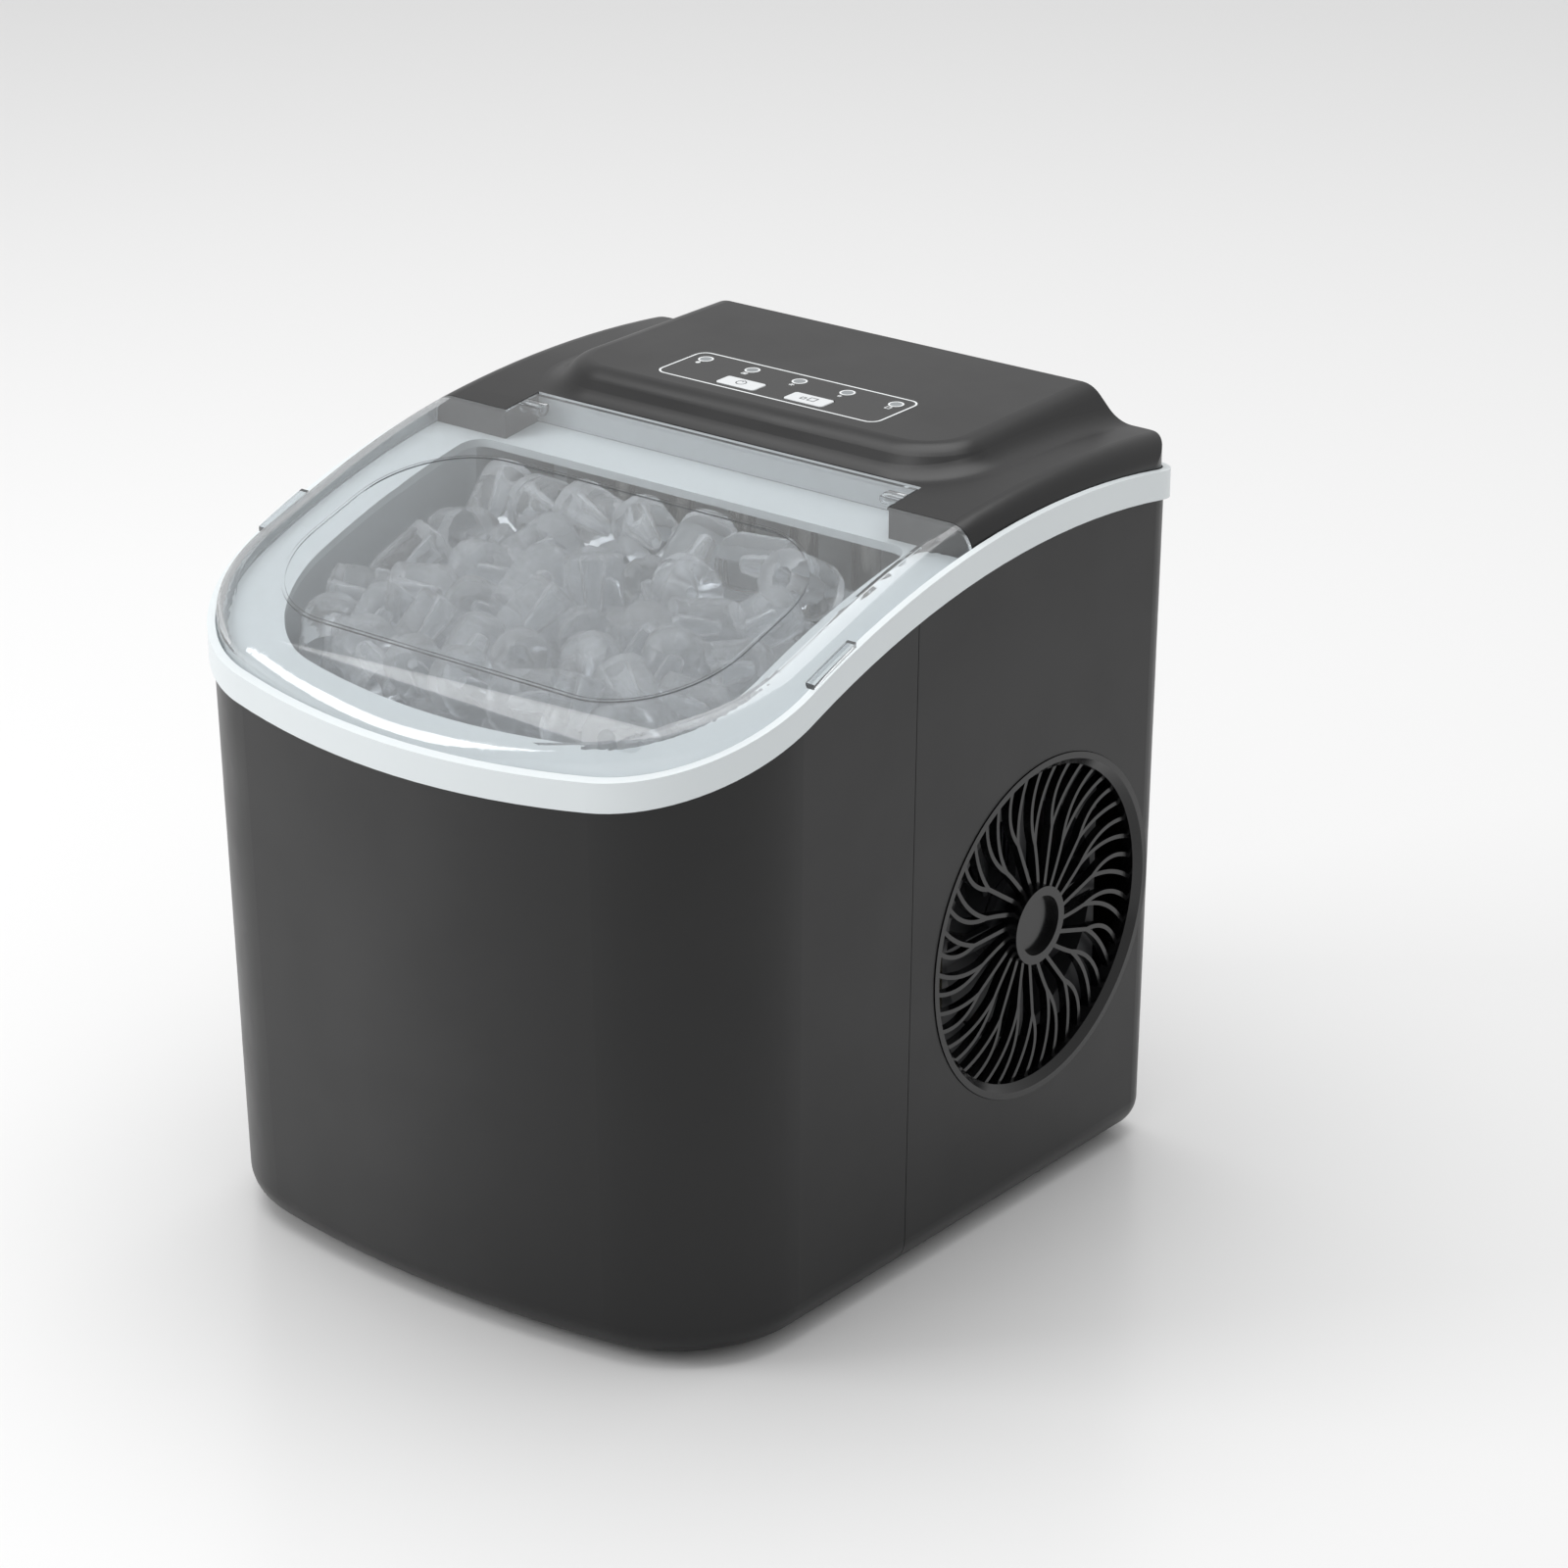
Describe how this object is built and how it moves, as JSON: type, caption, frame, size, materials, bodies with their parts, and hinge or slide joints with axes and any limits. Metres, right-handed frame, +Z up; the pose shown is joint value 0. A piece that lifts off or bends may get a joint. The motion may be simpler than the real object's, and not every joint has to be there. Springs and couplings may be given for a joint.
{
  "type": "countertop ice maker",
  "caption": "Countertop ice maker with a clear hinged lid over its ice bin, black body, round side air grilles and a key panel behind the lid.",
  "frame": {"origin": "centre of the bounding box footprint, on the counter under the rubber feet", "axes": "+Z up; -Y is the front, where the clear lid slopes down; +X is the right side, which has the fan's air grille, seen by someone standing in front"},
  "size_m": [0.2506, 0.2812, 0.2836],
  "materials": {
    "black_shell": "satin black moulded ABS",
    "grille_black": "satin black moulded ABS",
    "cover_black": "smooth semi-gloss black ABS",
    "trim_grey": "pale cool grey satin ABS",
    "clear_smoke": "clear, lightly smoked polycarbonate",
    "panel_film": "gloss black printed film",
    "lamp_white": "frosted white light pipe",
    "key_white": "smooth white key",
    "liner_grey": "pale grey food-safe plastic",
    "basket_grey": "pale translucent grey plastic",
    "dark_fitting": "dark plastic fitting",
    "foam": "cream rigid foam",
    "rubber_black": "soft black rubber",
    "steel_screw": "zinc-plated steel",
    "galvanised": "galvanised steel sheet",
    "compressor_black": "black enamelled steel",
    "copper": "drawn copper tube",
    "fin_aluminium": "mill-finish fin stock",
    "nickel": "nickel-plated copper",
    "silicone": "milky silicone hose",
    "board_green": "green solder mask",
    "component_black": "black component bodies"
  },
  "bodies": {
    "chassis": {"front_shell": "black_shell", "rear_shell": "black_shell", "right_grille": "grille_black", "left_grille": "grille_black", "base_pan": "galvanised", "rubber_feet": "rubber_black", "base_screws": "steel_screw", "trim_band_frame": "trim_grey", "top_cover": "cover_black", "panel_overlay": "panel_film", "indicator_light_pipes": "lamp_white", "control_board": "board_green", "board_switches_and_lamps": "component_black", "cover_screws": "steel_screw", "inner_tub": "liner_grey", "foam_insulation": "foam", "ice_level_sensors": "dark_fitting", "chamber_posts": "liner_grey", "evaporator_plate": "nickel", "freezing_fingers": "nickel", "evaporator_tube": "copper", "tray_gear_motor": "dark_fitting", "tray_end_switch": "dark_fitting", "water_pump": "dark_fitting", "water_hose": "silicone", "float_stem": "dark_fitting", "drain_tube": "silicone", "compressor": "compressor_black", "compressor_grommets": "rubber_black", "compressor_terminal_box": "dark_fitting", "condenser_coil": "copper", "condenser_fins": "fin_aluminium", "fan_frame": "dark_fitting", "fan_motor": "dark_fitting", "filter_drier": "copper", "discharge_tube": "copper", "liquid_tube": "copper", "capillary_tube": "copper", "suction_tube": "copper", "hot_gas_valve": "steel_screw", "hot_gas_tubes": "copper", "main_board": "board_green", "board_components": "component_black", "wiring_loom": "dark_fitting", "cord_gland": "dark_fitting"},
    "lid": {"lid": "clear_smoke", "lid_hinge_pins": "steel_screw"},
    "basket": {"ice_basket": "basket_grey"},
    "tray": {"water_tray": "liner_grey", "tray_pivot_pins": "steel_screw"},
    "fan": {"fan_rotor": "dark_fitting", "fan_shaft": "steel_screw"},
    "power_key": {"power_key": "key_white"},
    "size_key": {"size_key": "key_white"},
    "plug": {"drain_plug": "rubber_black"},
    "float": {"level_float": "lamp_white"}
  },
  "joints": [
    {"name": "lid_hinge", "type": "hinge", "parent": "chassis", "child": "lid", "pos_m": [0, 0.027, 0.2676], "axis": [-1, 0, 0], "range_deg": [0, 90]},
    {"name": "basket_lift", "type": "slide", "parent": "chassis", "child": "basket", "axis": [0, 0, 1], "range_m": [0, 0.02]},
    {"name": "tray_tilt", "type": "hinge", "parent": "chassis", "child": "tray", "pos_m": [0, 0.054, 0.228], "axis": [1, 0, 0], "range_deg": [0, 50]},
    {"name": "fan_spin", "type": "hinge", "parent": "chassis", "child": "fan", "pos_m": [0.0985, 0.0638, 0.1079], "axis": [1, 0, 0], "continuous": true},
    {"name": "power_key_press", "type": "slide", "parent": "chassis", "child": "power_key", "axis": [0, 0, -1], "range_m": [0, 0.0006], "stiffness_N_per_m": 600, "springref_m": -0.0005},
    {"name": "size_key_press", "type": "slide", "parent": "chassis", "child": "size_key", "axis": [0, 0, -1], "range_m": [0, 0.0006], "stiffness_N_per_m": 600, "springref_m": -0.0005},
    {"name": "drain_plug_pull", "type": "slide", "parent": "chassis", "child": "plug", "axis": [0, 1, 0], "range_m": [0, 0.015]},
    {"name": "float_travel", "type": "slide", "parent": "chassis", "child": "float", "axis": [0, 0, 1], "range_m": [0, 0.012]}
  ]
}
